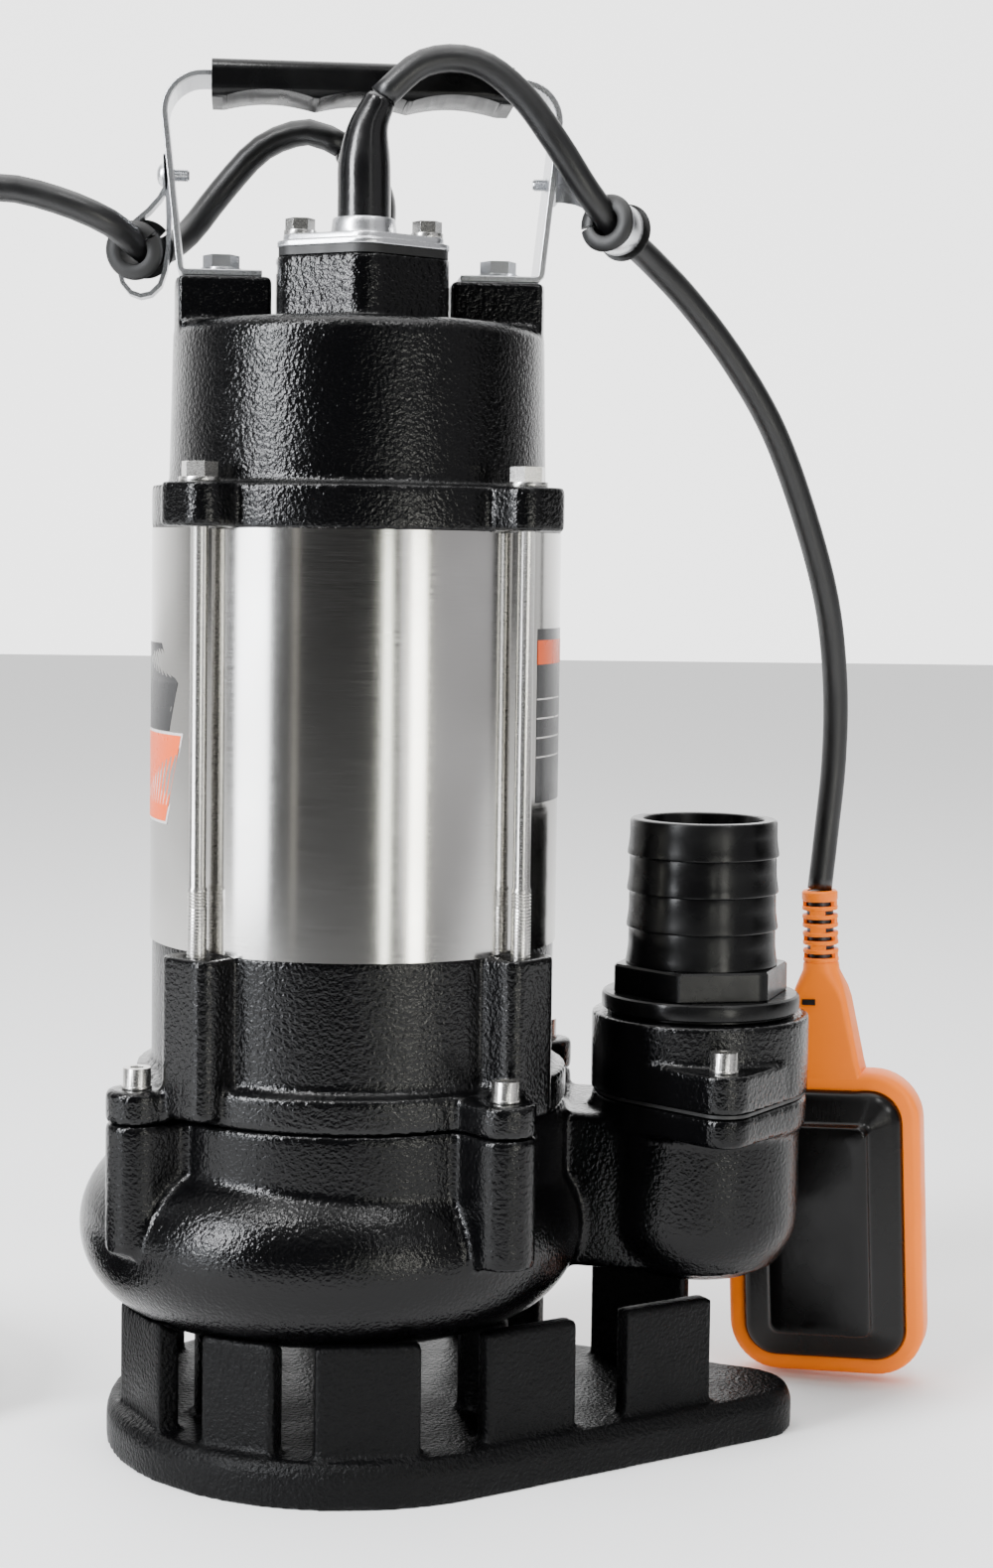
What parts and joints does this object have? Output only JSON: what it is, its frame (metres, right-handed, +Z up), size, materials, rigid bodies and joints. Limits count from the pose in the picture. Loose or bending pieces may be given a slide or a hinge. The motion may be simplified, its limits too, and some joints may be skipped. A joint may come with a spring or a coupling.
{
  "type": "submersible sump pump",
  "caption": "Upright submersible pump: strainer foot, round scroll casing, steel motor barrel, carrying handle, side outlet with a barbed hose tail, and a tethered float switch.",
  "frame": {"origin": "point of the ground plane under the pump's shaft axis, at the foot's underside", "axes": "+Z up along the shaft, +X towards the outlet, -Y towards the front"},
  "size_m": [0.4988, 0.2006, 0.44],
  "materials": {
    "black_casting": "gloss",
    "black_moulding": "matte",
    "zinc_plated_steel": "satin",
    "stainless_steel": "satin",
    "bearing_steel": "polished",
    "bare_iron": "rough",
    "motor_laminations": "satin",
    "cage_aluminium": "satin",
    "winding_copper": "varnished",
    "seal_rubber": "matte",
    "seal_ceramic": "polished ceramic",
    "seal_carbon": "satin carbon",
    "dark_plastic": "satin",
    "hose_tail_plastic": "satin",
    "capacitor_shell": "satin",
    "terminal_plastic": "satin",
    "boot_rubber": "glossy",
    "cord_rubber": "matte",
    "label_film": "printed film, plain blocks of colour",
    "float_orange": "satin",
    "float_black": "satin"
  },
  "bodies": {
    "pump": {"strainer_foot": "black_moulding", "foot_screws": "zinc_plated_steel", "scroll_casing": "black_casting", "casing_seal_ring": "seal_rubber", "oil_housing": "black_casting", "casing_screws": "stainless_steel", "oil_plug": "zinc_plated_steel", "shaft_seal_seat": "seal_ceramic", "lip_seal": "seal_rubber", "lower_bearing_outer": "bearing_steel", "stator_core": "motor_laminations", "stator_windings": "winding_copper", "thermal_protector": "dark_plastic", "motor_barrel": "stainless_steel", "lower_barrel_seal": "seal_rubber", "upper_barrel_seal": "seal_rubber", "upper_bearing_plate": "bare_iron", "upper_bearing_outer": "bearing_steel", "top_cover": "black_casting", "tie_bolts": "stainless_steel", "run_capacitor": "capacitor_shell", "terminal_block": "terminal_plastic", "gland_gaskets": "seal_rubber", "gland_plates": "zinc_plated_steel", "gland_screws": "stainless_steel", "float_cable_boot": "boot_rubber", "power_cord_boot": "boot_rubber", "handle_strap": "zinc_plated_steel", "handle_grip": "dark_plastic", "handle_screws": "zinc_plated_steel", "cord_clips": "zinc_plated_steel", "cord_bushes": "cord_rubber", "outlet_gasket": "seal_rubber", "outlet_flange": "black_casting", "outlet_screws": "stainless_steel", "hose_tail": "hose_tail_plastic", "barrel_labels": "label_film", "float_cable": "cord_rubber", "power_cord": "cord_rubber", "power_coil": "cord_rubber", "power_cord_tail": "cord_rubber", "power_plug": "dark_plastic"},
    "rotor": {"rotor_shaft": "bearing_steel", "rotor_core": "motor_laminations", "rotor_cage_rings": "cage_aluminium", "impeller": "bare_iron", "impeller_nut": "stainless_steel", "impeller_key": "bearing_steel", "lower_bearing_inner": "bearing_steel", "upper_bearing_inner": "bearing_steel", "shaft_seal_face": "seal_carbon", "shaft_seal_spring": "stainless_steel", "shaft_seal_collar": "zinc_plated_steel"},
    "lower_ball_set": {"lower_bearing_balls": "bearing_steel"},
    "upper_ball_set": {"upper_bearing_balls": "bearing_steel"},
    "float": {"float_frame": "float_orange", "float_front_shell": "float_black", "float_back_shell": "float_black", "float_switch": "dark_plastic"},
    "float_ball": {"float_ball": "bearing_steel"}
  },
  "joints": [
    {"name": "rotor_spin", "type": "hinge", "parent": "pump", "child": "rotor", "pos_m": [0, 0, 0.2], "axis": [0, 0, 1], "continuous": true},
    {"name": "lower_balls_roll", "type": "hinge", "parent": "pump", "child": "lower_ball_set", "pos_m": [0, 0, 0.1563], "axis": [0, 0, 1], "continuous": true},
    {"name": "upper_balls_roll", "type": "hinge", "parent": "pump", "child": "upper_ball_set", "pos_m": [0, 0, 0.29], "axis": [0, 0, 1], "continuous": true},
    {"name": "float_swing", "type": "hinge", "parent": "pump", "child": "float", "pos_m": [0.1635, 0.052, 0.171], "axis": [0, -1, 0], "range_deg": [-2, 105], "deforming": ["float_cable"]},
    {"name": "float_ball_roll", "type": "slide", "parent": "float", "child": "float_ball", "axis": [-0.0436, 0, 0.999], "range_m": [0, 0.032]}
  ],
  "couplings": [
    {"joint": "lower_balls_roll", "follows": "rotor_spin", "ratio": 0.3842},
    {"joint": "upper_balls_roll", "follows": "rotor_spin", "ratio": 0.384}
  ]
}
